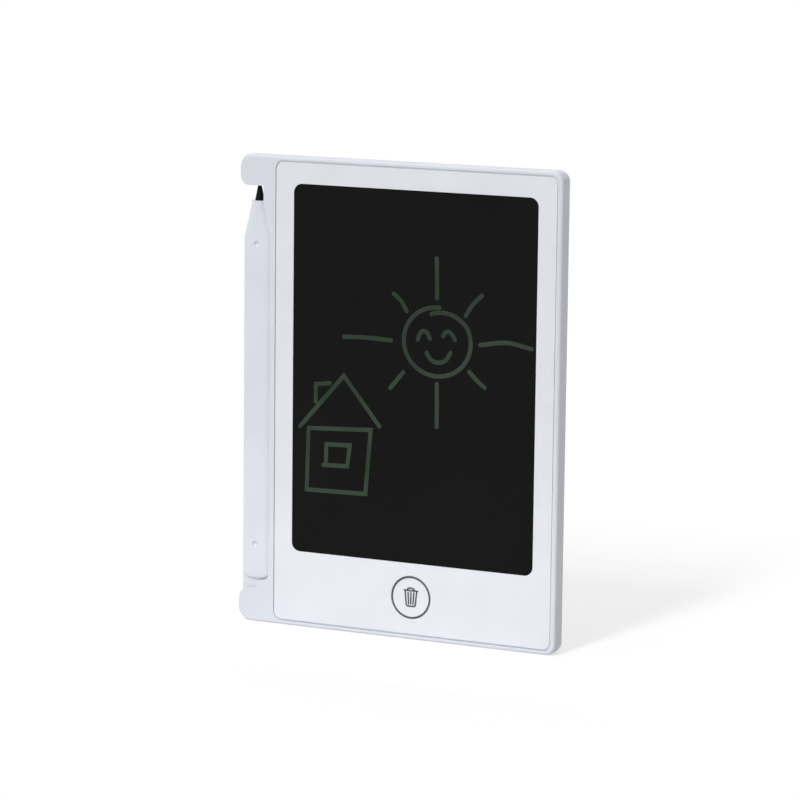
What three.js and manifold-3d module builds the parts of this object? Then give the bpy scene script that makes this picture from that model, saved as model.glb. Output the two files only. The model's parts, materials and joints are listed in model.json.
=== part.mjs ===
// Pocket writing tablet with a pressure sensitive screen and a flat stylus at its side.
// It stands upright on its short bottom edge: X runs across it, Z up its long side, and the
// screen faces -Y. Lengths are millimetres. The pieces are built with x = 0 on the screen's
// centreline, y = 0 on the front plane and z = 0 on the bottom edge. The assembly is then
// moved so that the origin lies under the middle of the whole tablet.

import * as THREE from 'three';
import { mergeVertices } from 'three/addons/utils/BufferGeometryUtils.js';
import Module from 'manifold-3d';

const wasm = await Module();
wasm.setup();

// Screen window and the white panel round it
const windowWidth = 64.6;
const windowHeight = 90.65;
const windowRadius = 2.2;
const bezelSide = 4.71;
const bezelTop = 5.07;
const bezelBottom = 17.46;
const panelThickness = 1.0;
const panelRadius = 1.85;
const panelFit = 0.05;
const grooveWidth = 0.38;
const grooveDepth = 0.35;
const windowRim = 0.2;

// Housing
const thickness = 4.8;
const lip = 1.03;
const bodyRadius = 2.7;
const rearWall = 1.1;
const panelStep = 1.0;
const frontFillet = 0.65;
const rearFillet = 0.8;

// Ears that hold the stylus
const pocketReach = 8.8;
const topEarHeight = 7.5;
const bottomEarHeight = 8.72;
const noseReach = 2.25;
const footReach = 3.8;
const footHeight = 3.4;
const shoulderWidth = 1.56;
const chamferWidth = 1.06;
const chamferDrop = 1.28;
const bayWall = 0.36;
const gussetWidth = 2.2;
const gussetStraight = 4.2;
const gussetLength = 12.3;
const keeperReach = 3.5;
const keeperThickness = 0.75;
const keeperGap = 0.7;
const keeperCornerRadius = 1.6;
const ledgeReach = 4.4;
const coveGap = 0.1;
const exitAngle = THREE.MathUtils.degToRad(9);

// Socket for the nib in the upper ear
const socketLeft = 2.45;
const socketRight = 1.6;
const socketWidth = 2.3;
const socketDepth = 2.5;

// Stylus
const stylusWidth = 7.6;
const stylusThickness = 3.4;
const stylusGap = 0.12;
const stylusRecess = 0.35;
const tailRise = 2.3;
const stylusSquareness = 4;
const stylusWall = 0.75;
const mouthWidth = 4.1;
const neckLength = 1.15;
const coneLength = 7.85;
const tailRadius = 1.3;
const tailDraftShare = 0.15;
const dimpleRadius = 0.8;
const dimpleDepth = 0.6;
const dimpleFromMouth = 10.55;
const dimpleFromTail = 8.4;
const postRadius = 1.0;
const tongueThickness = 1.7;
const tongueInset = 0.5;
const tongueSink = 0.35;
const tongueGap = 0.3;
const tongueRadius = 0.9;

// Nib
const nibBaseRadius = 1.17;
const nibTipRadius = 0.48;
const nibExposed = 4.1;
const nibEngagement = 0.28;
const nibShankRadius = 0.75;
const nibShankLength = 5.5;
const nibFit = 0.1;

// Erase key
const keyHeight = 10.44;
const keyCentreX = 0.27;
const keyRadius = 5.2;
const keyGap = 0.12;
const keyTravel = 0.3;
const keyFlangeWidth = 0.5;
const keyFlangeThickness = 0.2;
const keyFlangeGap = 0.05;
const plungerRadius = 1.5;
const keyRingWidth = 0.4;
const keyRingThickness = 0.06;
const domeRadius = 3.0;
const domeHeight = 0.25;
const domeGap = 0.02;
const domeFoot = 0.08;

// Screen stack
const filmMargin = 1.4;
const filmFit = 0.2;
const adhesiveThickness = 0.06;
const filmThickness = 0.55;
const backingMargin = 2.6;
const backingThickness = 0.8;
const backingRadius = 1.5;
const ribThickness = 1.2;
const ribLengthShare = 0.9;
const ribHeightShares = [0.3, 0.5, 0.7, 0.9];
const ribSink = 0.3;

// Circuit board and what is on it
const boardInset = 7.4;
const boardCellGap = 2.5;
const boardBottom = 2.9;
const boardTop = 15.9;
const boardThickness = 0.8;
const boardRadius = 1.0;
const contactThickness = 0.15;
const boardScrewInset = 3.2;
const bossRadius = 1.9;
const boreFit = 0.1;
const screwRadius = 0.6;
const screwLength = 1.5;
const screwHeadRadius = 1.2;
const screwHeadThickness = 0.6;
const driveWidth = 0.3;
const driveSpanShare = 0.7;
const driveDepthShare = 0.5;
const tailWidth = 12;
const tailLength = 5.6;
const tailThickness = 0.15;
const tailInset = 11;
const tailRoom = 0.15;
const stripWidth = 10;
const stripHeight = 2;
const chipSize = [4, 0.75, 4.4];
const coilSize = [3, 0.9, 3];
const capacitorSize = [2, 0.85, 1.25];
const chipInset = [22, 9.1];
const coilInset = [16, 8.5];
const capacitorInset = [22, 3.1];

// Coin cell and its door
const cellRadius = 10;
const cellThickness = 1.6;
const cellInset = 17.4;
const cellCentreZ = 14.9;
const cellFit = 0.3;
const cellStep = 1.2;
const cellStepHeight = 0.35;
const traySide = 14;
const trayBelow = 12.2;
const trayAbove = 15.9;
const trayThickness = 0.8;
const doorSide = 12;
const doorBelow = 11.4;
const doorAbove = 15.1;
const doorRadius = 2;
const doorGap = 0.2;
const doorSeatGap = 0.05;
const doorScrewRise = 12.6;
const doorScrewRadius = 0.7;
const doorScrewLength = 1.7;
const doorHeadRadius = 1.5;
const doorHeadThickness = 0.7;
const doorHeadFit = 0.15;
const doorHeadRecess = 0.1;
const pegRadius = 0.6;
const pegLength = 0.6;
const pegInset = 2.0;
const pegFit = 0.1;
const gripCount = 5;
const gripPitch = 1.6;
const gripWidth = 0.7;
const gripLength = 9;
const gripDepth = 0.25;
const gripRise = 7.2;
const contactWidth = 5;
const contactReach = 7;
const contactOverlap = 4;

// One overrun serves all cuts
const overrun = 2;
const arcSteps = 8;
const filletSteps = 4;
const roundSides = 32;
const smallSides = 16;
const stylusSides = 40;
const quarterTurn = Math.PI / 2;

// Sizes that follow from the ones above
const panelEdge = lip + grooveWidth;
const bodyWidth = windowWidth + 2 * (bezelSide + panelEdge);
const bodyHeight = windowHeight + bezelTop + bezelBottom + 2 * panelEdge;
const left = -bodyWidth / 2;
const right = bodyWidth / 2;
const earLeft = left - pocketReach;
const bayRight = left - bayWall;
const windowBottom = panelEdge + bezelBottom;
const windowTop = windowBottom + windowHeight;
const earUnderside = bodyHeight - topEarHeight;
const noseCentre = earUnderside + topEarHeight / 2;
const floorDepth = thickness - rearWall;

const stylusX = bayRight - stylusGap - stylusWidth / 2;
const stylusY = stylusRecess + stylusThickness / 2;
const nibTip = earUnderside + nibEngagement;
const mouth = nibTip - nibExposed;
const tail = bottomEarHeight + tailRise;
const shaftTop = mouth - neckLength - coneLength;

const filmDepth = windowRim + adhesiveThickness;
const absorberDepth = filmDepth + filmThickness;
const backingDepth = panelThickness;
const contactDepth = backingDepth + backingThickness;
const boardDepth = contactDepth + contactThickness;
const boardBack = boardDepth + boardThickness;
const trayDepth = floorDepth - trayThickness;
const domeTop = boardDepth - domeHeight;

const cellCentreX = right - cellInset;
const boardLeft = left + boardInset;
const boardRight = cellCentreX - cellRadius - boardCellGap;
const tailCentre = boardLeft + tailInset;

const keeperLeft = left - keeperReach;
const ledgeLeft = left - ledgeReach;
const exitSlope = Math.tan(exitAngle);
const earTopAt = (x) => bottomEarHeight + (x - keeperLeft) * exitSlope;
const keeperTopAt = (x) => tail - keeperGap + (x - keeperLeft) * exitSlope;
const tongueBottomAt = (x) => earTopAt(x) - tongueSink;
const slotFloorAt = (x) => tongueBottomAt(x) - tongueGap;

// Closed solid from a three.js geometry
function solid(geometry) {
  geometry.deleteAttribute('normal');
  geometry.deleteAttribute('uv');
  const merged = mergeVertices(geometry);
  const vertProperties = new Float32Array(merged.attributes.position.array);
  const triVerts = new Uint32Array(merged.index.array);
  return new wasm.Manifold(new wasm.Mesh({ numProp: 3, vertProperties, triVerts }));
}

// Named mesh from a solid
function piece(name, body, colour, roughness, metalness = 0) {
  const { vertProperties, triVerts } = body.getMesh();
  const geometry = new THREE.BufferGeometry();
  geometry.setAttribute('position', new THREE.BufferAttribute(vertProperties, 3));
  geometry.setIndex(new THREE.BufferAttribute(triVerts, 1));
  geometry.computeVertexNormals();
  const material = new THREE.MeshStandardMaterial({ color: colour, roughness, metalness });
  const mesh = new THREE.Mesh(geometry, material);
  mesh.name = name;
  return mesh;
}

// Flat plate with an outline in X and Z, from one depth behind the front plane to another
function plate(outline, front, back) {
  const options = { depth: back - front, bevelEnabled: false, curveSegments: arcSteps };
  const geometry = new THREE.ExtrudeGeometry(outline, options);
  geometry.translate(0, 0, -back);
  geometry.rotateX(quarterTurn);
  return solid(geometry);
}

// The same with both rims rounded
function roundedPlate(outline, front, back, fillet) {
  const geometry = new THREE.ExtrudeGeometry(outline, {
    depth: back - front - 2 * fillet,
    bevelEnabled: true,
    bevelThickness: fillet,
    bevelSize: fillet,
    bevelOffset: -fillet,
    bevelSegments: filletSteps,
    curveSegments: arcSteps,
  });
  geometry.translate(0, 0, fillet - back);
  geometry.rotateX(quarterTurn);
  return solid(geometry);
}

function roundedRect(x0, z0, x1, z1, radius) {
  const outline = new THREE.Shape();
  outline.moveTo(x0 + radius, z0);
  outline.lineTo(x1 - radius, z0);
  outline.absarc(x1 - radius, z0 + radius, radius, -quarterTurn, 0);
  outline.lineTo(x1, z1 - radius);
  outline.absarc(x1 - radius, z1 - radius, radius, 0, quarterTurn);
  outline.lineTo(x0 + radius, z1);
  outline.absarc(x0 + radius, z1 - radius, radius, quarterTurn, 2 * quarterTurn);
  outline.lineTo(x0, z0 + radius);
  outline.absarc(x0 + radius, z0 + radius, radius, 2 * quarterTurn, 3 * quarterTurn);
  return outline;
}

function polygon(points) {
  return new THREE.Shape(points.map(([x, z]) => new THREE.Vector2(x, z)));
}

function box(x0, x1, front, back, z0, z1) {
  const geometry = new THREE.BoxGeometry(x1 - x0, back - front, z1 - z0);
  geometry.translate((x0 + x1) / 2, (front + back) / 2, (z0 + z1) / 2);
  return solid(geometry);
}

// Round pin whose axis runs along the depth
function pin(x, z, radius, front, back, sides = smallSides) {
  const geometry = new THREE.CylinderGeometry(radius, radius, back - front, sides);
  geometry.translate(x, (front + back) / 2, z);
  return solid(geometry);
}

// Turned piece whose axis runs along the depth, from [radius, depth] pairs
function turned(x, z, profile, sides = roundSides) {
  const geometry = new THREE.LatheGeometry(profile.map(([r, y]) => new THREE.Vector2(r, y)), sides);
  geometry.translate(x, 0, z);
  return solid(geometry);
}

// Outline of the stylus at one height: a squared ellipse, or a circle at squareness 2
function stylusSection(halfWidth, halfDepth, squareness) {
  const points = [];
  for (let k = 0; k < stylusSides; k += 1) {
    const angle = (2 * Math.PI * k) / stylusSides;
    const across = Math.sign(Math.cos(angle)) * Math.abs(Math.cos(angle)) ** (2 / squareness);
    const deep = Math.sign(Math.sin(angle)) * Math.abs(Math.sin(angle)) ** (2 / squareness);
    points.push([halfWidth * across, halfDepth * deep]);
  }
  return points;
}

// Closed skin over sections that are stacked from the bottom up
function loft(sections) {
  const positions = [];
  const faces = [];
  for (const { height, points } of sections) {
    for (const [x, y] of points) positions.push(stylusX + x, stylusY + y, height);
  }
  const last = (sections.length - 1) * stylusSides;
  const bottomCentre = sections.length * stylusSides;
  positions.push(stylusX, stylusY, sections[0].height);
  positions.push(stylusX, stylusY, sections.at(-1).height);
  for (let k = 0; k < stylusSides; k += 1) {
    const next = (k + 1) % stylusSides;
    for (let row = 0; row < last; row += stylusSides) {
      const upper = row + stylusSides;
      faces.push(row + k, row + next, upper + next);
      faces.push(row + k, upper + next, upper + k);
    }
    faces.push(bottomCentre, next, k);
    faces.push(bottomCentre + 1, last + k, last + next);
  }
  const geometry = new THREE.BufferGeometry();
  geometry.setAttribute('position', new THREE.Float32BufferAttribute(positions, 3));
  geometry.setIndex(faces);
  return solid(geometry);
}

// Stylus body from its rounded tail to the neck above its cone, grown by a margin
function stylusBody(margin) {
  const halfWidth = stylusWidth / 2 + margin;
  const halfDepth = stylusThickness / 2 + margin;
  const sections = [];
  const tailSteps = 5;
  for (let step = 0; step <= tailSteps; step += 1) {
    const angle = (quarterTurn * step) / tailSteps;
    const inset = tailRadius * (1 - Math.sin(angle));
    const height = tail - margin + tailRadius * (1 - Math.cos(angle));
    const points = stylusSection(
      halfWidth - inset,
      halfDepth - inset * tailDraftShare,
      stylusSquareness,
    );
    sections.push({ height, points });
  }
  const coneSteps = 5;
  for (let step = 0; step <= coneSteps; step += 1) {
    const share = step / coneSteps;
    const points = stylusSection(
      THREE.MathUtils.lerp(halfWidth, mouthWidth / 2 + margin, share),
      halfDepth,
      THREE.MathUtils.lerp(stylusSquareness, 2, share),
    );
    sections.push({ height: shaftTop + coneLength * share, points });
  }
  sections.push({ height: mouth, points: sections.at(-1).points });
  return loft(sections);
}

// Channel inside the stylus, open where its two halves meet
function stylusChannel() {
  const halfWidth = stylusWidth / 2 - stylusWall;
  const halfDepth = stylusThickness / 2 - stylusWall;
  const points = stylusSection(halfWidth, halfDepth, stylusSquareness);
  return loft([
    { height: tail + tailRadius + stylusWall, points },
    { height: shaftTop, points },
  ]);
}

// Flat tongue below the stylus's tail, which dips behind the front wall of the lower ear. Its
// lower edge runs along the way out
function stylusTongue() {
  const x0 = stylusX - stylusWidth / 2;
  const x1 = stylusX + stylusWidth / 2 - tongueInset;
  const curveEnd = x0 + tongueRadius;
  const outline = new THREE.Shape();
  outline.moveTo(x1, tongueBottomAt(x1));
  outline.lineTo(x1, tail + tailRadius);
  outline.lineTo(x0, tail + tailRadius);
  outline.lineTo(x0, tongueBottomAt(x0) + tongueRadius);
  outline.quadraticCurveTo(x0, tongueBottomAt(x0), curveEnd, tongueBottomAt(curveEnd));
  outline.closePath();
  return plate(outline, stylusY - tongueThickness / 2, stylusY + tongueThickness / 2);
}

function nib() {
  const profile = [[0, mouth - nibShankLength], [nibShankRadius, mouth - nibShankLength]];
  profile.push([nibShankRadius, mouth], [nibBaseRadius, mouth]);
  const tipSteps = 4;
  for (let step = 0; step < tipSteps; step += 1) {
    const angle = (quarterTurn * step) / tipSteps;
    const height = nibTip - nibTipRadius * (1 - Math.sin(angle));
    profile.push([nibTipRadius * Math.cos(angle), height]);
  }
  profile.push([0, nibTip]);
  const points = profile.map(([r, z]) => new THREE.Vector2(r, z));
  const geometry = new THREE.LatheGeometry(points, smallSides);
  geometry.rotateX(quarterTurn);
  geometry.translate(stylusX, stylusY, 0);
  return solid(geometry);
}

// Bore for the nib's shank, and posts with pins that join the two halves
function nibBore() {
  const radius = nibShankRadius + nibFit;
  const length = nibShankLength + nibFit + overrun;
  const geometry = new THREE.CylinderGeometry(radius, radius, length, smallSides);
  geometry.rotateX(quarterTurn);
  geometry.translate(stylusX, stylusY, mouth + overrun - length / 2);
  return solid(geometry);
}

// Shallow round dimple over a post
function dimple(height) {
  const radius = (dimpleRadius ** 2 + dimpleDepth ** 2) / (2 * dimpleDepth);
  const geometry = new THREE.SphereGeometry(radius, smallSides * 2, smallSides * 2);
  geometry.rotateX(quarterTurn);
  geometry.translate(stylusX, stylusFront + dimpleDepth - radius, height);
  return solid(geometry);
}

const postHeights = [mouth - dimpleFromMouth, tail + dimpleFromTail];
const stylusFront = stylusRecess;
const stylusBack = stylusRecess + stylusThickness;
const postPin = postRadius / 2;

function stylusHalves() {
  let outer = stylusBody(0).add(stylusTongue());
  let channel = stylusChannel();
  for (const height of postHeights) {
    channel = channel.subtract(pin(stylusX, height, postRadius, stylusFront, stylusBack));
  }
  outer = outer.subtract(channel).subtract(nibBore());
  const x0 = stylusX - stylusWidth;
  const x1 = stylusX + stylusWidth;
  const z0 = tail - stylusWidth;
  const frontSpace = box(x0, x1, stylusY - stylusThickness, stylusY, z0, mouth + overrun);
  const rearSpace = box(x0, x1, stylusY, stylusY + stylusThickness, z0, mouth + overrun);
  let front = outer.intersect(frontSpace);
  let rear = outer.intersect(rearSpace);
  for (const height of postHeights) {
    front = front.subtract(dimple(height));
    const socketFront = stylusFront + dimpleDepth + stylusWall / 2;
    front = front.subtract(pin(stylusX, height, postPin + nibFit, socketFront, stylusBack));
    rear = rear.add(pin(stylusX, height, postPin, socketFront + nibFit, stylusY + nibFit));
  }
  return { front, rear };
}

// Quarter of the ellipse that ends the upper ear
function noseQuarter(outline, start) {
  const end = start + quarterTurn;
  outline.absellipse(earLeft + noseReach, noseCentre, noseReach, topEarHeight / 2, start, end);
}

// Tablet's whole outline with the stylus bay filled
function fullOutline() {
  const outline = new THREE.Shape();
  const foot = [earLeft + footReach, footHeight, footReach, footHeight];
  outline.absellipse(...foot, 2 * quarterTurn, 3 * quarterTurn);
  outline.lineTo(right - bodyRadius, 0);
  outline.absarc(right - bodyRadius, bodyRadius, bodyRadius, -quarterTurn, 0);
  outline.lineTo(right, bodyHeight - bodyRadius);
  outline.absarc(right - bodyRadius, bodyHeight - bodyRadius, bodyRadius, 0, quarterTurn);
  outline.lineTo(earLeft + noseReach, bodyHeight);
  noseQuarter(outline, quarterTurn);
  outline.closePath();
  return outline;
}

// Space between the ears, open to the left: its upper edge is the upper ear's underside and
// gusset, its right edge the bay's wall, and its lower edge the keeper, the sloping top of
// the lower ear and its shoulder
function pocketOutline() {
  const shoulderX = earLeft + shoulderWidth;
  const shoulderTop = earTopAt(shoulderX);
  const chamferBottom = shoulderTop - chamferDrop;
  const curveEnd = bayRight - keeperCornerRadius;
  const outline = new THREE.Shape();
  outline.moveTo(earLeft - overrun, noseCentre);
  outline.lineTo(earLeft, noseCentre);
  noseQuarter(outline, 2 * quarterTurn);
  outline.lineTo(left - gussetWidth, earUnderside);
  outline.lineTo(left - gussetWidth, earUnderside - gussetStraight);
  outline.lineTo(bayRight, earUnderside - gussetLength);
  outline.lineTo(bayRight, keeperTopAt(bayRight) + keeperCornerRadius);
  outline.quadraticCurveTo(bayRight, keeperTopAt(bayRight), curveEnd, keeperTopAt(curveEnd));
  outline.lineTo(keeperLeft, keeperTopAt(keeperLeft));
  outline.lineTo(keeperLeft, earTopAt(keeperLeft));
  outline.lineTo(shoulderX, shoulderTop);
  outline.lineTo(shoulderX - chamferWidth, chamferBottom);
  outline.quadraticCurveTo(earLeft, (chamferBottom + footHeight) / 2, earLeft, footHeight);
  outline.lineTo(earLeft - overrun, footHeight);
  outline.closePath();
  return outline;
}

// Stylus pocket with its concave wall, back ledge, tongue slot and nib socket
function stylusPocket() {
  const back = thickness + overrun;
  const ledge = box(ledgeLeft, left + overrun, stylusY, back, 0, bodyHeight);
  const openSpace = plate(pocketOutline(), -overrun, back).subtract(ledge);
  const upperSpace = box(
    earLeft - overrun,
    bayRight,
    -overrun,
    thickness,
    keeperTopAt(keeperLeft),
    earUnderside,
  );
  const straightHead = pin(0, 0, mouthWidth / 2 + coveGap, 0, topEarHeight, smallSides)
    .rotate([-90, 0, 0])
    .translate([stylusX, stylusY, mouth - coveGap + topEarHeight]);
  const cove = stylusBody(coveGap).add(straightHead).intersect(upperSpace);
  const slotRight = stylusX + stylusWidth / 2 - tongueInset + tongueGap;
  const slotLeft = earLeft - overrun;
  const slot = plate(
    polygon([
      [slotLeft, slotFloorAt(slotLeft)],
      [slotRight, slotFloorAt(slotRight)],
      [slotRight, tail + tailRadius],
      [slotLeft, tail + tailRadius],
    ]),
    keeperThickness,
    stylusBack + coveGap,
  );
  const socket = box(
    stylusX - socketLeft,
    stylusX + socketRight,
    stylusY - socketWidth / 2,
    stylusY + socketWidth / 2,
    earUnderside - coveGap,
    earUnderside + socketDepth,
  );
  return openSpace.add(cove).add(slot).add(socket);
}

const boardScrews = [
  [boardLeft + boardScrewInset, (boardBottom + boardTop) / 2],
  [boardRight - boardScrewInset / 2, boardBottom + boardScrewInset / 2],
];
const doorScrewZ = cellCentreZ + doorScrewRise;
const doorPegs = [
  [cellCentreX - doorSide + pegInset, cellCentreZ - doorBelow + pegInset],
  [cellCentreX + doorSide - pegInset, cellCentreZ - doorBelow + pegInset],
];

function doorOutline(margin) {
  return roundedRect(
    cellCentreX - doorSide - margin,
    cellCentreZ - doorBelow - margin,
    cellCentreX + doorSide + margin,
    cellCentreZ + doorAbove + margin,
    doorRadius + margin,
  );
}

// Ribs that carry the screen's backing plate
function backingRibs() {
  const reach = (windowWidth * ribLengthShare) / 2;
  const ribs = ribHeightShares.map((share) => {
    const height = windowBottom + windowHeight * share;
    const z0 = height - ribThickness / 2;
    const z1 = height + ribThickness / 2;
    return box(-reach, reach, contactDepth, floorDepth + ribSink, z0, z1);
  });
  return wasm.Manifold.union(ribs);
}

// Housing: back, side walls and both ears in one moulding
function rearHousing() {
  const frontForm = roundedPlate(fullOutline(), 0, thickness + overrun, frontFillet);
  const rearForm = roundedPlate(fullOutline(), -overrun, thickness, rearFillet);
  const outer = frontForm.intersect(rearForm).subtract(stylusPocket());
  const panelSpace = plate(
    roundedRect(left + lip, lip, right - lip, bodyHeight - lip, panelRadius + grooveWidth),
    -overrun,
    panelThickness,
  );
  const wall = lip + panelStep;
  const inside = plate(
    roundedRect(left + wall, wall, right - wall, bodyHeight - wall, panelRadius),
    -overrun,
    floorDepth,
  );
  const tray = plate(
    roundedRect(
      cellCentreX - traySide,
      cellCentreZ - trayBelow,
      cellCentreX + traySide,
      cellCentreZ + trayAbove,
      doorRadius,
    ),
    trayDepth,
    floorDepth + doorSeatGap,
  );
  let housing = outer.subtract(panelSpace).subtract(inside);
  housing = housing.subtract(plate(doorOutline(doorGap), floorDepth - overrun, thickness + overrun));
  housing = housing.add(tray).add(backingRibs());
  for (const [x, z] of boardScrews) {
    housing = housing.add(pin(x, z, bossRadius, boardBack, floorDepth + ribSink));
    const bore = screwRadius + boreFit;
    housing = housing.subtract(pin(x, z, bore, boardBack - overrun, floorDepth));
  }
  housing = housing.add(pin(cellCentreX, doorScrewZ, bossRadius, contactDepth, trayDepth + ribSink));
  const doorBore = doorScrewRadius + boreFit;
  housing = housing.subtract(pin(cellCentreX, doorScrewZ, doorBore, 0, thickness));
  const cellBore = cellRadius + cellFit;
  housing = housing.subtract(pin(cellCentreX, cellCentreZ, cellBore, 0, thickness, roundSides));
  for (const [x, z] of doorPegs) {
    housing = housing.subtract(pin(x, z, pegRadius + pegFit, 0, thickness));
  }
  return housing;
}

// Outline of the white panel, grown by a margin
function panelOutline(margin) {
  const inset = panelEdge - margin;
  const radius = panelRadius + margin;
  return roundedRect(left + inset, inset, right - inset, bodyHeight - inset, radius);
}

// White panel with the screen window, a rebate behind it for the film, and the key's hole.
// Its flange fills the housing's rim and is the floor of the groove round the panel
function frontPanel() {
  const flange = plate(panelOutline(grooveWidth - panelFit), grooveDepth, panelThickness);
  const margin = filmMargin + filmFit;
  const halfWindow = windowWidth / 2;
  const opening = plate(
    roundedRect(-halfWindow, windowBottom, halfWindow, windowTop, windowRadius),
    -overrun,
    panelThickness + overrun,
  );
  const rebate = box(
    -halfWindow - margin,
    halfWindow + margin,
    windowRim,
    panelThickness + overrun,
    windowBottom - margin,
    windowTop + margin,
  );
  const halfTail = tailWidth / 2 + tailRoom;
  const tailSpace = box(
    tailCentre - halfTail,
    tailCentre + halfTail,
    filmDepth,
    panelThickness + overrun,
    windowBottom - filmMargin - tailLength - tailRoom,
    windowBottom,
  );
  const keyHole = pin(keyCentreX, keyHeight, keyRadius + keyGap, -overrun, overrun, roundSides * 2);
  return plate(panelOutline(0), 0, panelThickness)
    .add(flange)
    .subtract(opening)
    .subtract(rebate)
    .subtract(tailSpace)
    .subtract(keyHole);
}

// Rectangle that covers the window and a margin all round
function screenSheet(margin, front, back, radius = 0) {
  const x1 = windowWidth / 2 + margin;
  const z0 = windowBottom - margin;
  const z1 = windowTop + margin;
  if (radius > 0) return plate(roundedRect(-x1, z0, x1, z1, radius), front, back);
  return box(-x1, x1, front, back, z0, z1);
}

function windowAdhesive() {
  const sheet = screenSheet(filmMargin, windowRim, filmDepth);
  return sheet.subtract(screenSheet(0, windowRim - overrun, filmDepth + overrun));
}

// Erase key: cap, flange behind the panel and plunger over the dome
function eraseKey() {
  const flangeFront = panelThickness + keyFlangeGap;
  const flangeBack = flangeFront + keyFlangeThickness;
  const plungerEnd = domeTop - domeGap - keyTravel;
  return turned(keyCentreX, keyHeight, [
    [0, keyRingThickness],
    [keyRadius, keyRingThickness],
    [keyRadius, flangeFront],
    [keyRadius + keyFlangeWidth, flangeFront],
    [keyRadius + keyFlangeWidth, flangeBack],
    [plungerRadius, flangeBack],
    [plungerRadius, plungerEnd],
    [0, plungerEnd],
  ], roundSides * 2);
}

// Dark ring on the rim of the erase key
function keyRing() {
  return turned(keyCentreX, keyHeight, [
    [keyRadius - keyRingWidth, 0],
    [keyRadius, 0],
    [keyRadius, keyRingThickness],
    [keyRadius - keyRingWidth, keyRingThickness],
    [keyRadius - keyRingWidth, 0],
  ], roundSides * 2);
}

function domeSwitch() {
  const profile = [[0, boardDepth], [domeRadius, boardDepth], [domeRadius, boardDepth - domeFoot]];
  const crown = domeHeight - domeFoot;
  const domeSteps = 4;
  for (let step = 1; step < domeSteps; step += 1) {
    const share = step / domeSteps;
    profile.push([domeRadius * (1 - share), boardDepth - domeFoot - crown * (1 - (1 - share) ** 2)]);
  }
  profile.push([0, domeTop]);
  return turned(keyCentreX, keyHeight, profile.reverse(), smallSides);
}

// Screw whose head looks to the front or to the back, with a cross recess
function screw(x, z, headDepth, direction, size) {
  const { radius, length, headRadius, headThickness } = size;
  const seat = headDepth + direction * headThickness;
  const end = seat + direction * length;
  const head = pin(x, z, headRadius, Math.min(headDepth, seat), Math.max(headDepth, seat));
  const shank = pin(x, z, radius, Math.min(headDepth, end), Math.max(headDepth, end));
  const reach = headRadius * driveSpanShare;
  const bottom = headDepth + direction * headThickness * driveDepthShare;
  const outside = headDepth - direction * overrun;
  const front = Math.min(bottom, outside);
  const back = Math.max(bottom, outside);
  const half = driveWidth / 2;
  const drive = box(x - reach, x + reach, front, back, z - half, z + half)
    .add(box(x - half, x + half, front, back, z - reach, z + reach));
  return head.add(shank).subtract(drive);
}

function circuitBoard() {
  const outline = roundedRect(boardLeft, boardBottom, boardRight, boardTop, boardRadius);
  let board = plate(outline, boardDepth, boardBack);
  for (const [x, z] of boardScrews) {
    board = board.subtract(pin(x, z, screwRadius + boreFit, 0, thickness));
  }
  return board;
}

// Component that sits on the back of the circuit board, placed from the board's lower left
function component([across, up], [width, depth, height]) {
  const x0 = boardLeft + across - width / 2;
  const z0 = boardBottom + up - height / 2;
  return box(x0, x0 + width, boardBack, boardBack + depth, z0, z0 + height);
}

function filmTail() {
  const x0 = tailCentre - tailWidth / 2;
  const front = filmDepth + (filmThickness - tailThickness) / 2;
  const top = windowBottom - filmMargin;
  return box(x0, x0 + tailWidth, front, front + tailThickness, top - tailLength, top);
}

// Conductive rubber strip between the film's tail and the circuit board
function contactStrip() {
  const x0 = tailCentre - stripWidth / 2;
  const front = filmDepth + (filmThickness + tailThickness) / 2;
  const z0 = windowBottom - filmMargin - tailLength;
  return box(x0, x0 + stripWidth, front, boardDepth, z0, z0 + stripHeight);
}

function coinCell() {
  const front = boardDepth;
  const back = front + cellThickness;
  return turned(cellCentreX, cellCentreZ, [
    [0, front],
    [cellRadius - cellStep, front],
    [cellRadius - cellStep, front + cellStepHeight],
    [cellRadius, front + cellStepHeight],
    [cellRadius, back],
    [0, back],
  ]);
}

// Leaf under the cell's front face, running onto the front of the board
function frontContact() {
  const z0 = cellCentreZ - contactWidth;
  const x0 = boardRight - contactOverlap;
  const x1 = cellCentreX - cellRadius + contactReach;
  return box(x0, x1, contactDepth, boardDepth, z0, z0 + contactWidth);
}

// Leaf from the back of the board to the cell's rim
function rimContact() {
  const z0 = cellCentreZ - contactWidth / 2;
  const x0 = boardRight - contactOverlap;
  const x1 = cellCentreX - cellRadius - boreFit;
  return box(x0, x1, boardBack, boardBack + contactThickness, z0, boardTop);
}

// Battery door: plate with locating pegs, a sunk seat for its screw and finger grooves
function batteryDoor() {
  const front = floorDepth + doorSeatGap;
  let door = plate(doorOutline(0), front, thickness);
  for (const [x, z] of doorPegs) {
    door = door.add(pin(x, z, pegRadius, front - pegLength, thickness - doorHeadThickness));
  }
  const seatFront = thickness - doorHeadRecess - doorHeadThickness;
  const seatRadius = doorHeadRadius + doorHeadFit;
  door = door.subtract(pin(cellCentreX, doorScrewZ, seatRadius, seatFront, thickness + overrun));
  door = door.subtract(pin(cellCentreX, doorScrewZ, doorScrewRadius + boreFit, 0, thickness));
  for (let k = 0; k < gripCount; k += 1) {
    const z = cellCentreZ + gripRise - k * gripPitch;
    const outline = roundedRect(
      cellCentreX - gripLength / 2,
      z - gripWidth / 2,
      cellCentreX + gripLength / 2,
      z + gripWidth / 2,
      gripWidth / 2,
    );
    door = door.subtract(plate(outline, thickness - gripDepth, thickness + overrun));
  }
  return door;
}

const boardScrewSize = {
  radius: screwRadius,
  length: screwLength,
  headRadius: screwHeadRadius,
  headThickness: screwHeadThickness,
};
const doorScrewSize = {
  radius: doorScrewRadius,
  length: doorScrewLength,
  headRadius: doorHeadRadius,
  headThickness: doorHeadThickness,
};

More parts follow.
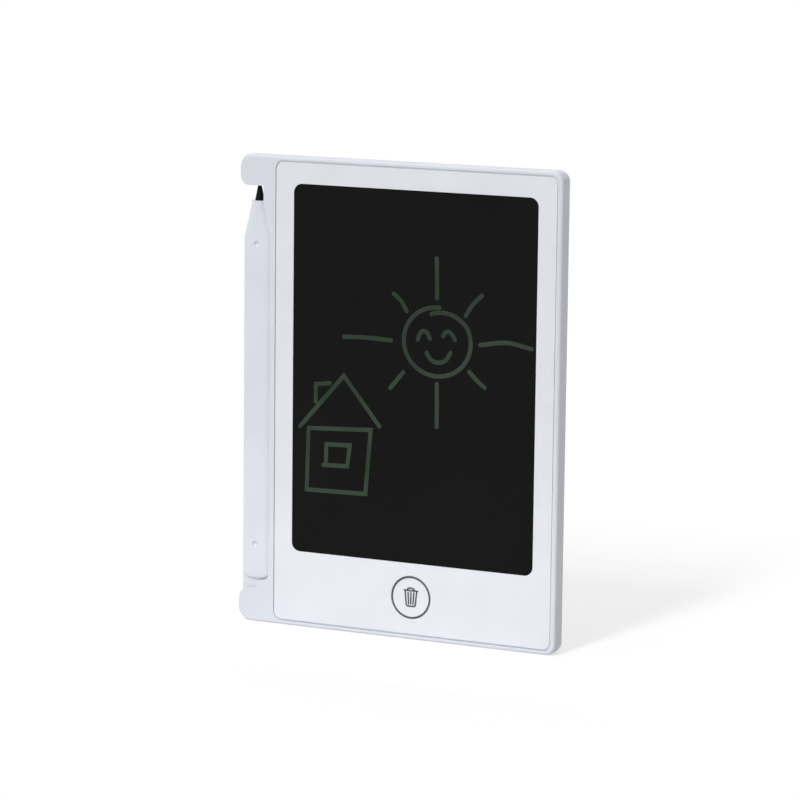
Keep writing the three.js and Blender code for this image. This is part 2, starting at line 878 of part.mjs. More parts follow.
const white = 0xe3e6ec;
const panelWhite = 0xf0f1f6;
const black = 0x1b1b1d;
const darkGrey = 0x595b60;
const boardGreen = 0x1f5a38;
const metal = 0xc4c6c8;
const brass = 0xc9a86a;

const halves = stylusHalves();
const boardScrewPieces = boardScrews.map(([x, z], k) => {
  const head = boardDepth - screwHeadThickness;
  return piece(`board_screw_${k + 1}`, screw(x, z, head, 1, boardScrewSize), metal, 0.35, 1);
});
const doorHead = thickness - doorHeadRecess;

const tablet = new THREE.Group();
tablet.add(
  piece('rear_housing', rearHousing(), white, 0.55),
  piece('front_panel', frontPanel(), panelWhite, 0.45),
  piece('window_adhesive', windowAdhesive(), black, 0.8),
  piece('lcd_film', screenSheet(filmMargin, filmDepth, absorberDepth), black, 0.2),
  piece('absorber_sheet', screenSheet(filmMargin, absorberDepth, backingDepth), black, 0.9),
  piece(
    'backing_plate',
    screenSheet(backingMargin, backingDepth, contactDepth, backingRadius),
    darkGrey,
    0.7,
  ),
  piece('erase_key', eraseKey(), panelWhite, 0.45),
  piece('erase_key_ring', keyRing(), darkGrey, 0.6),
  piece('dome_switch', domeSwitch(), metal, 0.3, 1),
  piece('circuit_board', circuitBoard(), boardGreen, 0.5),
  piece('driver_chip', component(chipInset, chipSize), black, 0.6),
  piece('boost_coil', component(coilInset, coilSize), darkGrey, 0.6),
  piece('storage_capacitor', component(capacitorInset, capacitorSize), brass, 0.5),
  ...boardScrewPieces,
  piece('film_tail', filmTail(), darkGrey, 0.4),
  piece('contact_strip', contactStrip(), black, 0.8),
  piece('coin_cell', coinCell(), metal, 0.3, 1),
  piece('cell_front_contact', frontContact(), brass, 0.35, 1),
  piece('cell_rim_contact', rimContact(), brass, 0.35, 1),
  piece('battery_door', batteryDoor(), white, 0.55),
  piece(
    'battery_door_screw',
    screw(cellCentreX, doorScrewZ, doorHead, -1, doorScrewSize),
    metal,
    0.35,
    1,
  ),
  piece('stylus_front_half', halves.front, white, 0.55),
  piece('stylus_rear_half', halves.rear, white, 0.55),
  piece('stylus_nib', nib(), black, 0.5),
);
tablet.position.set(pocketReach / 2, -thickness / 2, 0);
tablet.updateMatrixWorld(true);

export default tablet;
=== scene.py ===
import json
import math

import bmesh
import bpy
from mathutils import Matrix, Vector


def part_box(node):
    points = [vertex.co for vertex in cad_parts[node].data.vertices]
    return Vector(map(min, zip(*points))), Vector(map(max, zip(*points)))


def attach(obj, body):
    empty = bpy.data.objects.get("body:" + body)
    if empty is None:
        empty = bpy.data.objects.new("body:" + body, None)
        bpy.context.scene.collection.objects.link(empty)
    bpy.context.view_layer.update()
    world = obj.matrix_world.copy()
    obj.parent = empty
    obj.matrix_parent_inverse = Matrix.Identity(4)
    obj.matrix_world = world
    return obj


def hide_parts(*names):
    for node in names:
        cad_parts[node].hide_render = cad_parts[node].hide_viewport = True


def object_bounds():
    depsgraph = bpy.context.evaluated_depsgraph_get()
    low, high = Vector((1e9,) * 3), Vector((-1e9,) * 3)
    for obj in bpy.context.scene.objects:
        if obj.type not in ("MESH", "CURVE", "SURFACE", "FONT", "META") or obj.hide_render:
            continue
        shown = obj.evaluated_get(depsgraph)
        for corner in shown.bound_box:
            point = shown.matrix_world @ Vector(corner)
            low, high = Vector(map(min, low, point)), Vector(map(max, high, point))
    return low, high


# The frame, and the box that it fills before anything is added
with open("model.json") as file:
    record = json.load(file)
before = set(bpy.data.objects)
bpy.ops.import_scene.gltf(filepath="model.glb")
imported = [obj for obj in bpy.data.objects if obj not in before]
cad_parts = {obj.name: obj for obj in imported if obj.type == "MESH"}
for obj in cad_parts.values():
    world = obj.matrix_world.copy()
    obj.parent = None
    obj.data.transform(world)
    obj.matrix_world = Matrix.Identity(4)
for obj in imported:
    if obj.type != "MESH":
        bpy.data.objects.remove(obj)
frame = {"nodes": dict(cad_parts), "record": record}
cad_low, cad_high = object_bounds()
nodes = frame["nodes"]
scene = bpy.context.scene
MM = 0.001

# Camera, fitted to the photograph's edges
LOOK_AT = Vector((1.2, -2.4, 58.72)) * MM
VIEW_AZIMUTH = math.radians(25.59)
VIEW_ELEVATION = math.radians(9.18)
VIEW_ROLL = math.radians(0.64)
VIEW_DISTANCE = 870 * MM
LENS = 162.5
SENSOR = 36.0
CLIP_NEAR = 10 * MM
CLIP_FAR = 100


def direction(azimuth, elevation):
    """The way to a place at an azimuth, counted from the front to the right, and an elevation."""
    return Vector((
        math.sin(azimuth) * math.cos(elevation),
        -math.cos(azimuth) * math.cos(elevation),
        math.sin(elevation),
    ))


def make_camera():
    data = bpy.data.cameras.new("camera")
    data.lens = LENS
    data.sensor_width = SENSOR
    data.clip_start = CLIP_NEAR
    data.clip_end = CLIP_FAR
    camera = bpy.data.objects.new("camera", data)
    scene.collection.objects.link(camera)
    away = direction(VIEW_AZIMUTH, VIEW_ELEVATION)
    right = Vector((0, 0, 1)).cross(away).normalized()
    up = away.cross(right)
    tilted_right = right * math.cos(VIEW_ROLL) + up * math.sin(VIEW_ROLL)
    tilted_up = up * math.cos(VIEW_ROLL) - right * math.sin(VIEW_ROLL)
    turn = Matrix((tilted_right, tilted_up, away)).transposed()
    camera.matrix_world = Matrix.Translation(LOOK_AT + away * VIEW_DISTANCE) @ turn.to_4x4()
    scene.camera = camera


make_camera()

# Materials
# Most of a noise's values lie between these two
NOISE_LOW = 0.3
NOISE_HIGH = 0.7
# Sockets of a Mix node that mixes colours. Its other kinds use the same names
MIX_FACTOR = 0
MIX_FIRST = 6
MIX_SECOND = 7
MIX_RESULT = 2
# Gloss, of which 0.5 is usual
PLASTIC_SHINE = 0.45
FILM_SHINE = 0.06


def tinted(colour, factor):
    return tuple(min(1.0, channel * factor) for channel in colour)


class Shader:
    """A material with a Principled shader, and short ways to add procedural detail to it."""

    def __init__(self, name, colour, roughness, metallic=0.0):
        self.material = bpy.data.materials.new(name)
        self.material.use_nodes = True
        self.tree = self.material.node_tree
        self.principled = self.tree.nodes["Principled BSDF"]
        self.set("Base Color", (*colour, 1))
        self.set("Roughness", roughness)
        self.set("Metallic", metallic)
        self.coordinates = self.tree.nodes.new("ShaderNodeTexCoord").outputs["Object"]

    def set(self, socket, value):
        self.principled.inputs[socket].default_value = value

    def link(self, output, target):
        self.tree.links.new(output, target)

    def mapped(self, scale=(1, 1, 1), rotation=(0, 0, 0)):
        """Object coordinates, stretched by a scale on each axis and turned."""
        mapping = self.tree.nodes.new("ShaderNodeMapping")
        mapping.inputs["Scale"].default_value = scale
        mapping.inputs["Rotation"].default_value = rotation
        self.link(self.coordinates, mapping.inputs["Vector"])
        return mapping.outputs["Vector"]

    def noise(self, size, detail=2, stretch=(1, 1, 1)):
        """Noise whose grains are about size metres across."""
        texture = self.tree.nodes.new("ShaderNodeTexNoise")
        texture.inputs["Scale"].default_value = 1 / size
        texture.inputs["Detail"].default_value = detail
        vector = self.coordinates if stretch == (1, 1, 1) else self.mapped(scale=stretch)
        self.link(vector, texture.inputs["Vector"])
        return texture.outputs["Fac"]

    def ranged(self, pattern, low, high, start=NOISE_LOW, end=NOISE_HIGH):
        """Runs from low to high as a pattern runs from start to end."""
        node = self.tree.nodes.new("ShaderNodeMapRange")
        node.inputs["From Min"].default_value = start
        node.inputs["From Max"].default_value = end
        node.inputs["To Min"].default_value = low
        node.inputs["To Max"].default_value = high
        self.link(pattern, node.inputs["Value"])
        return node.outputs["Result"]

    def blend(self, factor, first, second):
        """A colour that runs from first to second. Each is a colour or another blend."""
        node = self.tree.nodes.new("ShaderNodeMix")
        node.data_type = "RGBA"
        for number, colour in ((MIX_FIRST, first), (MIX_SECOND, second)):
            if isinstance(colour, tuple):
                node.inputs[number].default_value = (*colour, 1)
            else:
                self.link(colour, node.inputs[number])
        self.link(factor, node.inputs[MIX_FACTOR])
        return node.outputs[MIX_RESULT]

    def colour(self, output):
        self.link(output, self.principled.inputs["Base Color"])

    def mottle(self, colour, pattern, darkest, lightest):
        """Lets a pattern take the colour from one tint of it to another."""
        factor = self.ranged(pattern, 0, 1)
        self.colour(self.blend(factor, tinted(colour, darkest), tinted(colour, lightest)))

    def roughness(self, pattern, low, high):
        """Lets a pattern take the roughness from low to high."""
        self.link(self.ranged(pattern, low, high), self.principled.inputs["Roughness"])

    def bump(self, *layers):
        """Layers of (height output, depth in metres), laid one on the other."""
        normal = None
        for height, depth in layers:
            node = self.tree.nodes.new("ShaderNodeBump")
            node.inputs["Strength"].default_value = 1.0
            node.inputs["Distance"].default_value = depth
            self.link(height, node.inputs["Height"])
            if normal is not None:
                self.link(normal, node.inputs["Normal"])
            normal = node.outputs["Normal"]
        self.link(normal, self.principled.inputs["Normal"])


def moulded_plastic(name, colour, roughness, grain_size, grain_depth):
    """Plastic with a fine eroded grain, faint flow marks and patches of uneven sheen."""
    patch_size = 9 * MM
    patch_tint = 0.02
    sheen_size = 4 * MM
    sheen_spread = 0.06
    flow_size = 14 * MM
    flow_depth = grain_depth * 6
    shader = Shader(name, colour, roughness)
    shader.mottle(colour, shader.noise(patch_size, detail=3), 1 - patch_tint, 1 + patch_tint)
    sheen = shader.noise(sheen_size, detail=4)
    shader.roughness(sheen, roughness - sheen_spread, roughness + sheen_spread)
    shader.bump(
        (shader.noise(grain_size), grain_depth),
        (shader.noise(flow_size, detail=1), flow_depth),
    )
    shader.set("Specular IOR Level", PLASTIC_SHINE)
    return shader


def worked_metal(name, colour, roughness, stretch):
    """Metal with fine lines along one direction and slight tarnish."""
    tarnish_size = 2 * MM
    line_size = 0.3 * MM
    line_depth = 0.003 * MM
    shader = Shader(name, colour, roughness, metallic=1.0)
    shader.mottle(colour, shader.noise(tarnish_size, detail=3), darkest=0.86, lightest=1.06)
    lines = shader.noise(line_size, detail=3, stretch=stretch)
    shader.roughness(lines, roughness - 0.08, roughness + 0.12)
    shader.bump((lines, line_depth))
    return shader


def screen_film(name, colour):
    """Dark film with hair-fine rub marks and a faint cloudiness under the surface."""
    cloud_size = 30 * MM
    rub_size = 0.6 * MM
    rub_stretch = (1, 1, 0.08)
    grain_size = 0.25 * MM
    grain_depth = 0.0012 * MM
    shader = Shader(name, colour, roughness=0.40)
    shader.mottle(colour, shader.noise(cloud_size), darkest=0.9, lightest=1.15)
    shader.roughness(shader.noise(rub_size, stretch=rub_stretch), low=0.34, high=0.46)
    shader.bump((shader.noise(grain_size, detail=1), grain_depth))
    shader.set("Specular IOR Level", FILM_SHINE)
    return shader


def written_line(name, grey, green, light):
    """The film where it has been pressed: dull greens that drift along the stroke."""
    green_size = 7 * MM
    light_size = 11 * MM
    sheen_size = 0.5 * MM
    grain_size = 0.4 * MM
    grain_depth = 0.002 * MM
    shader = Shader(name, grey, roughness=0.36)
    to_green = shader.ranged(shader.noise(green_size, detail=1), 0, 1, start=0.42, end=0.6)
    to_light = shader.ranged(shader.noise(light_size, detail=0), 0, 1, start=0.45, end=0.6)
    shader.colour(shader.blend(to_light, shader.blend(to_green, grey, green), light))
    shader.roughness(shader.noise(sheen_size), low=0.38, high=0.5)
    shader.bump((shader.noise(grain_size, detail=1), grain_depth))
    shader.set("Specular IOR Level", FILM_SHINE)
    return shader


def printed_ink(name, colour):
    """Screen-printed ink, a little uneven in cover."""
    cover_size = 0.3 * MM
    grain_size = 0.2 * MM
    grain_depth = 0.002 * MM
    shader = Shader(name, colour, roughness=0.5)
    cover = shader.noise(cover_size, detail=3)
    shader.mottle(colour, cover, darkest=0.85, lightest=1.2)
    shader.roughness(cover, low=0.45, high=0.58)
    shader.bump((shader.noise(grain_size, detail=1), grain_depth))
    return shader


def board_resist(name, colour, over_board, over_track):
    """Green solder resist over faint copper tracks, laid out in millimetres."""
    layout = {"Scale": 1 / MM, "Mortar Size": 0.12, "Brick Width": 3.0, "Row Height": 0.9}
    track_height = 0.01 * MM
    sheen_size = 1.5 * MM
    shader = Shader(name, colour, roughness=0.35)
    tracks = shader.tree.nodes.new("ShaderNodeTexBrick")
    for socket, value in layout.items():
        tracks.inputs[socket].default_value = value
    shader.link(shader.mapped(rotation=(math.pi / 2, 0, 0)), tracks.inputs["Vector"])
    shader.colour(shader.blend(tracks.outputs["Fac"], over_board, over_track))
    shader.roughness(shader.noise(sheen_size, detail=3), low=0.28, high=0.45)
    shader.bump((tracks.outputs["Fac"], track_height))
    return shader


HOUSING_WHITE = (0.76, 0.784, 0.846)
STYLUS_WHITE = (0.785, 0.806, 0.866)
PANEL_WHITE = (0.831, 0.849, 0.897)
NIB_BLACK = (0.008, 0.009, 0.011)
SCREEN_BLACK = (0.0056, 0.0055, 0.0062)
INK_GREY = (0.07, 0.072, 0.085)
STROKE_GREY = (0.038, 0.048, 0.040)
STROKE_GREEN = (0.028, 0.054, 0.026)
STROKE_LIGHT = (0.042, 0.066, 0.044)
RESIST_GREEN = (0.02, 0.13, 0.06)
RESIST_DARK = (0.012, 0.11, 0.045)
RESIST_LIGHT = (0.03, 0.19, 0.08)

# Slot of the record, name, colour, roughness, and the grain's size and depth in millimetres
PLASTICS = (
    ("housing_white", "housing_plastic", HOUSING_WHITE, 0.48, 0.35, 0.004),
    ("stylus_white", "stylus_plastic", STYLUS_WHITE, 0.46, 0.35, 0.004),
    ("panel_white", "panel_plastic", PANEL_WHITE, 0.40, 0.3, 0.002),
    ("key_white", "key_plastic", PANEL_WHITE, 0.40, 0.3, 0.002),
    ("nib_black", "nib_plastic", NIB_BLACK, 0.42, 0.2, 0.004),
    ("adhesive_black", "foam_tape", (0.03, 0.03, 0.03), 0.85, 0.35, 0.02),
    ("absorber_black", "absorber", (0.01, 0.01, 0.01), 0.9, 0.35, 0.01),
    ("backing_grey", "backing", (0.25, 0.26, 0.28), 0.7, 0.35, 0.004),
    ("chip_black", "chip_package", (0.02, 0.02, 0.02), 0.6, 0.35, 0.008),
    ("coil_dark", "ferrite", (0.06, 0.06, 0.062), 0.55, 0.35, 0.01),
    ("capacitor_tan", "ceramic", (0.45, 0.32, 0.18), 0.4, 0.35, 0.004),
    ("film_tail_grey", "printed_tail", (0.2, 0.2, 0.21), 0.4, 0.35, 0.004),
    ("strip_rubber", "layered_rubber", (0.03, 0.03, 0.035), 0.7, 0.35, 0.02),
)
# Slot of the record, name, colour, roughness, and the stretch of the fine lines on each axis
METALS = (
    ("screw_steel", "screw_metal", (0.60, 0.61, 0.62), 0.34, (1, 1, 1)),
    ("dome_steel", "dome_metal", (0.62, 0.62, 0.62), 0.28, (1, 1, 0.1)),
    ("cell_steel", "cell_metal", (0.64, 0.64, 0.65), 0.25, (0.1, 1, 1)),
    ("contact_brass", "contact_metal", (0.62, 0.48, 0.24), 0.3, (0.1, 1, 1)),
)


def make_finishes():
    """The material that each slot of the record shows."""
    finishes = {
        "screen_black": screen_film("film_black", SCREEN_BLACK),
        "key_ring_grey": printed_ink("ring_ink", INK_GREY),
        "board_green": board_resist("board_resist", RESIST_GREEN, RESIST_DARK, RESIST_LIGHT),
    }
    for slot, name, colour, roughness, grain_size, grain_depth in PLASTICS:
        finishes[slot] = moulded_plastic(name, colour, roughness, grain_size * MM, grain_depth * MM)
    for slot, name, colour, roughness, stretch in METALS:
        finishes[slot] = worked_metal(name, colour, roughness, stretch)
    finishes["nib_black"].set("Specular IOR Level", FILM_SHINE)
    return finishes


FINISHES = make_finishes()
stroke_green = written_line("stroke_green", STROKE_GREY, STROKE_GREEN, STROKE_LIGHT)


def dress_nodes():
    """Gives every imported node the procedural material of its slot."""
    for entry in frame["record"]["subparts"]:
        mesh = nodes[entry["node"]].data
        mesh.materials.clear()
        mesh.materials.append(FINISHES[entry["material_slot"]].material)


dress_nodes()

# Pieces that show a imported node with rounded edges
EDGE = 0.12 * MM
FINE_EDGE = 0.05 * MM
EDGE_SEGMENTS = 3
# Corners closer than this are one, and faces closer than this lie at the same depth
MERGE = 0.0005 * MM
# Faces that meet at less than this angle are joined
FLAT_ANGLE = math.radians(0.6)
# Edges sharper than these are rounded, and then shaded as creases
BEVEL_ANGLE = math.radians(32)
CREASE_ANGLE = math.radians(50)
FLAT_WEIGHT = 90
# A face whose normal runs along Y by at least this share lies across Y
FACING_SHARE = 0.99
HOUSING_WALL = 1.1 * MM


def new_piece(name, builder, body, slot, shader=None, replaced=()):
    """Turns a bmesh into a piece that rides on a body, in its slot's material or a given one."""
    mesh = bpy.data.meshes.new(name)
    builder.to_mesh(mesh)
    builder.free()
    piece = bpy.data.objects.new(name, mesh)
    scene.collection.objects.link(piece)
    mesh.materials.append((shader or FINISHES[slot]).material)
    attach(piece, body)
    if replaced:
        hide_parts(*replaced)
    return piece


def smooth_by_angle(piece):
    """Smooth shading, with the sharper edges kept as creases."""
    builder = bmesh.new()
    builder.from_mesh(piece.data)
    for face in builder.faces:
        face.smooth = True
    for edge in builder.edges:
        edge.smooth = edge.is_manifold and edge.calc_face_angle(0) < CREASE_ANGLE
    builder.to_mesh(piece.data)
    builder.free()


def round_edges(piece, width):
    """Rounds the piece's sharp edges, then keeps its flat faces flat in the shading."""
    bevel = piece.modifiers.new("rounded_edges", "BEVEL")
    bevel.width = width
    bevel.segments = EDGE_SEGMENTS
    bevel.limit_method = "ANGLE"
    bevel.angle_limit = BEVEL_ANGLE
    bevel.use_clamp_overlap = True
    bevel.miter_outer = "MITER_ARC"
    depsgraph = bpy.context.evaluated_depsgraph_get()
    final = bpy.data.meshes.new_from_object(piece.evaluated_get(depsgraph))
    piece.modifiers.clear()
    piece.data = final
    smooth_by_angle(piece)
    weighted = piece.modifiers.new("flat_faces", "WEIGHTED_NORMAL")
    weighted.weight = FLAT_WEIGHT
    weighted.keep_sharp = True


def faces_at(builder, depth):
    """The flat faces that lie across Y at a depth."""
    return {
        face for face in builder.faces
        if abs(face.normal.y) > FACING_SHARE and abs(face.calc_center_median().y - depth) < MERGE
    }


def refine(name, node, body, slot, width, pierced=None):
    """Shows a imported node's shape with its triangles joined to whole faces and its edges rounded.

    The faces at the depth pierced stay in triangles, as one face can't go round many holes.
    """
    builder = bmesh.new()
    builder.from_mesh(nodes[node].data)
    bmesh.ops.remove_doubles(builder, verts=builder.verts, dist=MERGE)
    builder.normal_update()
    holed = faces_at(builder, pierced) if pierced is not None else set()
    bmesh.ops.dissolve_limit(
        builder,
        angle_limit=FLAT_ANGLE,
        verts=[vert for vert in builder.verts if holed.isdisjoint(vert.link_faces)],
        edges=[edge for edge in builder.edges if holed.isdisjoint(edge.link_faces)],
    )
    round_edges(new_piece(name, builder, body, slot, replaced=(node,)), width)


refine(
    "housing_shell", "rear_housing", "tablet", "housing_white", EDGE,
    pierced=cad_high[1] - HOUSING_WALL,
)
refine("panel_plate", "front_panel", "tablet", "panel_white", EDGE)
refine("key_cap", "erase_key", "erase_key", "key_white", FINE_EDGE)
refine("door_plate", "battery_door", "battery_door", "housing_white", EDGE)
refine("door_screw_head", "battery_door_screw", "battery_door", "screw_steel", FINE_EDGE)
refine(
    "stylus_front_shell", "stylus_front_half", "stylus", "stylus_white", FINE_EDGE,
    pierced=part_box("stylus_front_half")[1].y,
)
refine("stylus_rear_shell", "stylus_rear_half", "stylus", "stylus_white", FINE_EDGE)

# Strokes: thin crowned ribbons with round ends, on a face that looks to -Y
# Places across a ribbon and its rise there, as shares of its half width and of its height
CROWN_SHARES = ((-1.0, 0.0), (-0.8, 0.75), (0.0, 1.0), (0.8, 0.75), (1.0, 0.0))
CAP_STEPS = 7
CURVE_STEPS = 8
COARSE_STEPS = 4
# Keeps a ribbon from growing past twice its width at a sharp corner
CORNER_SHARE = 0.5


def spots(*pairs):
    """Points given in millimetres."""
    return [Vector(pair) * MM for pair in pairs]


def through(points, steps=CURVE_STEPS):
    """A smooth line through points, as a Catmull-Rom curve."""
    ends = [points[0] * 2 - points[1], *points, points[-1] * 2 - points[-2]]
    line = []
    for a, b, c, d in zip(ends, ends[1:], ends[2:], ends[3:]):
        for step in range(steps):
            t = step / steps
            line.append((
                b * 2
                + (c - a) * t
                + (a * 2 - b * 5 + c * 4 - d) * t * t
                + (b * 3 - a - c * 3 + d) * t * t * t
            ) / 2)
    line.append(points[-1])
    return line


def sideways(line, k):
    """The direction across a line at its point k, stretched so that corners keep their width."""
    before = (line[k] - line[max(k - 1, 0)]).normalized()
    after = (line[min(k + 1, len(line) - 1)] - line[k]).normalized()
    if before.length == 0:
        before = after
    if after.length == 0:
        after = before
    along = (before + after).normalized()
    across = Vector((-along.y, along.x))
    return across / max(CORNER_SHARE, along.dot(after))


def add_stroke(builder, line, width, height, face_y, origin):
    """Adds one ribbon to a bmesh. Points are in metres, across and up from an origin."""
    half = width / 2

    def corner(point, rise):
        return builder.verts.new((origin.x + point.x, face_y - height * rise, origin.y + point.y))

    rows = []
    for k, point in enumerate(line):
        across = sideways(line, k)
        rows.append([corner(point + across * (half * share), rise) for share, rise in CROWN_SHARES])
    for first, second in zip(rows, rows[1:]):
        for k in range(len(CROWN_SHARES) - 1):
            builder.faces.new((first[k], first[k + 1], second[k + 1], second[k]))
    ends = ((1, line[0], line[1], rows[0]), (-1, line[-1], line[-2], rows[-1]))
    for sign, end, inner, row in ends:
        away = (end - inner).normalized() * half
        across = Vector((-away.y, away.x))
        middle = row[len(CROWN_SHARES) // 2]
        rim = [row[0]]
        for step in range(1, CAP_STEPS):
            angle = math.pi * step / CAP_STEPS
            side = across * (sign * math.cos(angle)) + away * math.sin(angle)
            rim.append(corner(end + side, 0))
        rim.append(row[-1])
        for a, b in zip(rim, rim[1:]):
            builder.faces.new((a, b, middle))


def draw(name, lines, width, height, face_y, origin, body, slot, shader=None):
    """Makes one piece of all its lines, each a ribbon on the face."""
    builder = bmesh.new()
    for line in lines:
        add_stroke(builder, line, width, height, face_y, origin)
    bmesh.ops.recalc_face_normals(builder, faces=builder.faces)
    for face in builder.faces:
        face.smooth = True
        if face.normal.y > 0:
            face.normal_flip()
    new_piece(name, builder, body, slot, shader)


# The doodle, in millimetres across and up from the middle of the window
FILM_LOW, FILM_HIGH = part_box("lcd_film")
DOODLE_RISE = 0.2 * MM
FILM_MIDDLE = Vector((
    (FILM_LOW.x + FILM_HIGH.x) / 2,
    (FILM_LOW.z + FILM_HIGH.z) / 2 + DOODLE_RISE,
))
STROKE_WIDTH = 1.08 * MM
STROKE_HEIGHT = 0.02 * MM
DISC_CENTRE = Vector((6.35, 9.08)) * MM
DISC_REACH = Vector((8.85, 8.32)) * MM
DISC_START = math.radians(87)
DISC_SWEEP = math.radians(375)
DISC_STEPS = 56
# From this share of its turn on, the sun's line moves inwards, by this much at its end
INWARD_START_SHARE = 0.8
DISC_INWARD = 1.5 * MM


def sun_disc():
    """One turn from the top round by the left, which ends a little inside its start."""
    line = []
    for step in range(DISC_STEPS + 1):
        share = step / DISC_STEPS
        angle = DISC_START + DISC_SWEEP * share
        inward = DISC_INWARD * max(0, share - INWARD_START_SHARE) / (1 - INWARD_START_SHARE)
        line.append(DISC_CENTRE + Vector((
            math.cos(angle) * (DISC_REACH.x - inward),
            math.sin(angle) * (DISC_REACH.y - inward),
        )))
    return line


HOUSE = [
    spots((-30.4, -14.4), (-18.5, -1.0), (-8.8, -12.6)),
    spots((-26.1, -7.9), (-26.1, -3.6), (-22.3, -3.1)),
    spots((-28.0, -14.6), (-11.1, -13.7), (-12.4, -29.6), (-28.4, -29.9), (-28.0, -14.6)),
    spots((-23.1, -18.2), (-16.7, -18.0), (-17.4, -23.2), (-23.9, -23.4)),
    spots((-23.1, -18.2), (-23.2, -23.1)),
]
RAYS = [
    spots((6.0, 29.2), (6.1, 24.5), (6.2, 19.6)),
    spots((6.4, -1.1), (6.5, -6.5), (6.5, -11.5)),
    through(spots((-18.5, 8.6), (-12.5, 8.8), (-5.9, 8.6))),
    through(spots((17.7, 9.2), (24.6, 10.2), (31.0, 9.2))),
    through(spots((-5.3, 20.0), (-3.2, 18.2), (-1.8, 16.0))),
    through(spots((18.0, 21.1), (15.5, 18.6), (13.8, 15.9))),
    spots((-2.5, 1.1), (-6.0, -3.0)),
    spots((14.9, 2.5), (17.0, 0.5), (19.0, -1.0)),
]
SMILE = [
    through(spots((1.2, 9.3), (1.9, 11.0), (2.8, 11.5), (3.8, 11.0), (4.4, 9.7))),
    through(spots((7.9, 10.6), (8.6, 11.6), (9.5, 11.7), (10.4, 11.0), (11.0, 9.9))),
    through(spots((3.6, 6.3), (4.7, 4.75), (6.6, 4.1), (8.6, 4.8), (9.9, 6.7))),
]
draw(
    "doodle_strokes", [*HOUSE, *RAYS, *SMILE, sun_disc()],
    STROKE_WIDTH, STROKE_HEIGHT, FILM_LOW.y, FILM_MIDDLE,
    "tablet", "screen_black", stroke_green,
)

# The bin on the erase key, in millimetres across and up from the key's centre
RING_LOW, RING_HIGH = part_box("erase_key_ring")
KEY_MIDDLE = Vector(((RING_LOW.x + RING_HIGH.x) / 2, (RING_LOW.z + RING_HIGH.z) / 2))
ICON_LINE = 0.43 * MM
ICON_SLAT = 0.42 * MM
ICON_HEIGHT = 0.03 * MM
LID = spots((-1.75, 1.72), (1.8, 1.66))
HANDLE = through(spots((-1.0, 1.72), (-0.7, 2.2), (0.0, 2.3), (0.7, 2.2), (1.0, 1.7)), COARSE_STEPS)
BUCKET = [
    *spots((-1.52, 1.6)),
    *through(spots((-1.24, -1.7), (-1.08, -2.04), (-0.72, -2.16)), COARSE_STEPS),
    *through(spots((0.72, -2.16), (1.08, -2.04), (1.24, -1.7)), COARSE_STEPS),
    *spots((1.56, 1.6)),
]
SLATS = [
    spots((-0.75, 1.2), (-0.6, -1.6)),
    spots((0.02, 1.2), (0.0, -1.6)),
    spots((0.79, 1.2), (0.6, -1.6)),
]
ICON = (("bin_outline", [LID, HANDLE, BUCKET], ICON_LINE), ("bin_slats", SLATS, ICON_SLAT))
for icon_name, icon_lines, icon_width in ICON:
    draw(
        icon_name, icon_lines,
        icon_width, ICON_HEIGHT, RING_HIGH.y, KEY_MIDDLE,
        "erase_key", "key_ring_grey",
    )

# Floor and light
FLOOR_REACH = 20
FLOOR_BOUNCE = (0.77, 0.77, 0.775, 1)
FLOOR_SEEN = (0.45, 0.45, 0.45, 1)
FLOOR_LIFT = 0.603
WORLD_WHITE = (1, 1, 1, 1)
WORLD_SEEN = 1.0
WORLD_LEVEL = 0.40
WORLD_LEFT = 1.5
WORLD_RIGHT = 0.25
# Azimuth, elevation and spread in degrees, and strength. Three suns make a tall, narrow key light
SUNS = {
    "key_low": (-5, 38, 8, 0.425),
    "key_middle": (-7.5, 45.5, 8, 0.466),
    "key_high": (-10.5, 53, 8, 0.516),
    "top_light": (0, 88, 60, 0.71),
}
# A soft lamp in front of the lower edge
LOW_LAMP_PLACE = Vector((5, -45, 10)) * MM
LOW_LAMP_TARGET = Vector((5, 0, 10)) * MM
LOW_LAMP_WIDTH = 120 * MM
LOW_LAMP_HEIGHT = 18 * MM
LOW_LAMP_POWER = 0.0040


def any_sight(tree):
    """1 for rays that show a thing, straight or by gloss or through glass, 0 for its light."""
    path = tree.nodes.new("ShaderNodeLightPath")
    output = path.outputs["Is Camera Ray"]
    for kind in ("Is Glossy Ray", "Is Transmission Ray"):
        either = tree.nodes.new("ShaderNodeMath")
        either.operation = "MAXIMUM"
        tree.links.new(output, either.inputs[0])
        tree.links.new(path.outputs[kind], either.inputs[1])
        output = either.outputs[0]
    return output


def floor_material():
    """White where it is seen, and a pale grey for the light that it throws back."""
    material = bpy.data.materials.new("floor_white")
    material.use_nodes = True
    tree = material.node_tree
    tree.nodes.clear()
    bounce = tree.nodes.new("ShaderNodeBsdfDiffuse")
    bounce.inputs["Color"].default_value = FLOOR_BOUNCE
    seen = tree.nodes.new("ShaderNodeBsdfDiffuse")
    seen.inputs["Color"].default_value = FLOOR_SEEN
    lift = tree.nodes.new("ShaderNodeEmission")
    lift.inputs["Strength"].default_value = FLOOR_LIFT
    lifted = tree.nodes.new("ShaderNodeAddShader")
    tree.links.new(seen.outputs[0], lifted.inputs[0])
    tree.links.new(lift.outputs[0], lifted.inputs[1])
    mix = tree.nodes.new("ShaderNodeMixShader")
    tree.links.new(any_sight(tree), mix.inputs[0])
    tree.links.new(bounce.outputs[0], mix.inputs[1])
    tree.links.new(lifted.outputs[0], mix.inputs[2])
    out = tree.nodes.new("ShaderNodeOutputMaterial")
    tree.links.new(mix.outputs[0], out.inputs["Surface"])
    return material


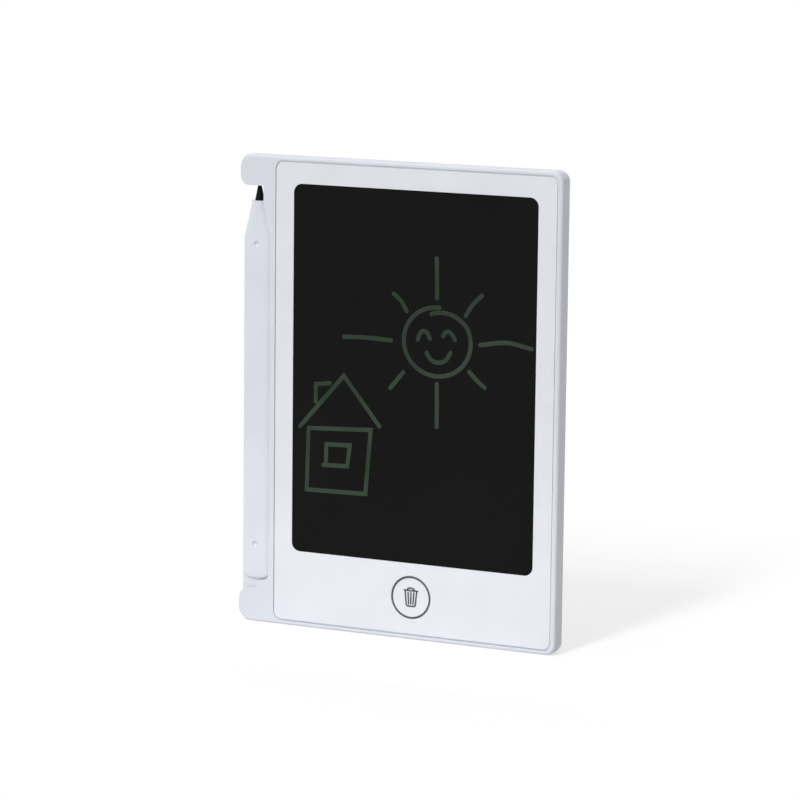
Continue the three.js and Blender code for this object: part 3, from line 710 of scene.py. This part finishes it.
def make_floor():
    builder = bmesh.new()
    bmesh.ops.create_grid(builder, x_segments=1, y_segments=1, size=FLOOR_REACH)
    mesh = bpy.data.meshes.new("floor")
    builder.to_mesh(mesh)
    builder.free()
    mesh.materials.append(floor_material())
    floor = bpy.data.objects.new("floor", mesh)
    scene.collection.objects.link(floor)


def make_world():
    """A studio that is white where it is seen, and lights the object more from the left."""
    world = bpy.data.worlds.new("studio")
    scene.world = world
    world.use_nodes = True
    tree = world.node_tree
    background = tree.nodes["Background"]
    background.inputs["Color"].default_value = WORLD_WHITE
    place = tree.nodes.new("ShaderNodeTexCoord")
    split = tree.nodes.new("ShaderNodeSeparateXYZ")
    tree.links.new(place.outputs["Generated"], split.inputs["Vector"])
    light = tree.nodes.new("ShaderNodeMapRange")
    light.inputs["From Min"].default_value = -1
    light.inputs["To Min"].default_value = WORLD_LEVEL * WORLD_LEFT
    light.inputs["To Max"].default_value = WORLD_LEVEL * WORLD_RIGHT
    tree.links.new(split.outputs["X"], light.inputs["Value"])
    strength = tree.nodes.new("ShaderNodeMapRange")
    strength.inputs["To Max"].default_value = WORLD_SEEN
    tree.links.new(light.outputs["Result"], strength.inputs["To Min"])
    tree.links.new(any_sight(tree), strength.inputs["Value"])
    tree.links.new(strength.outputs["Result"], background.inputs["Strength"])


def make_suns():
    for name, (azimuth, elevation, spread, strength) in SUNS.items():
        sun = bpy.data.lights.new(name, "SUN")
        sun.energy = strength
        sun.angle = math.radians(spread)
        lamp = bpy.data.objects.new(name, sun)
        source = direction(math.radians(azimuth), math.radians(elevation))
        lamp.rotation_euler = source.to_track_quat("Z", "Y").to_euler()
        scene.collection.objects.link(lamp)


def make_low_lamp():
    area = bpy.data.lights.new("low_lamp", "AREA")
    area.shape = "RECTANGLE"
    area.size = LOW_LAMP_WIDTH
    area.size_y = LOW_LAMP_HEIGHT
    area.energy = LOW_LAMP_POWER
    lamp = bpy.data.objects.new("low_lamp", area)
    lamp.location = LOW_LAMP_PLACE
    lamp.rotation_euler = (LOW_LAMP_TARGET - LOW_LAMP_PLACE).to_track_quat("-Z", "Y").to_euler()
    lamp.visible_camera = False
    lamp.visible_glossy = False
    scene.collection.objects.link(lamp)


make_floor()
make_world()
make_suns()
make_low_lamp()
scene.view_settings.view_transform = "Standard"
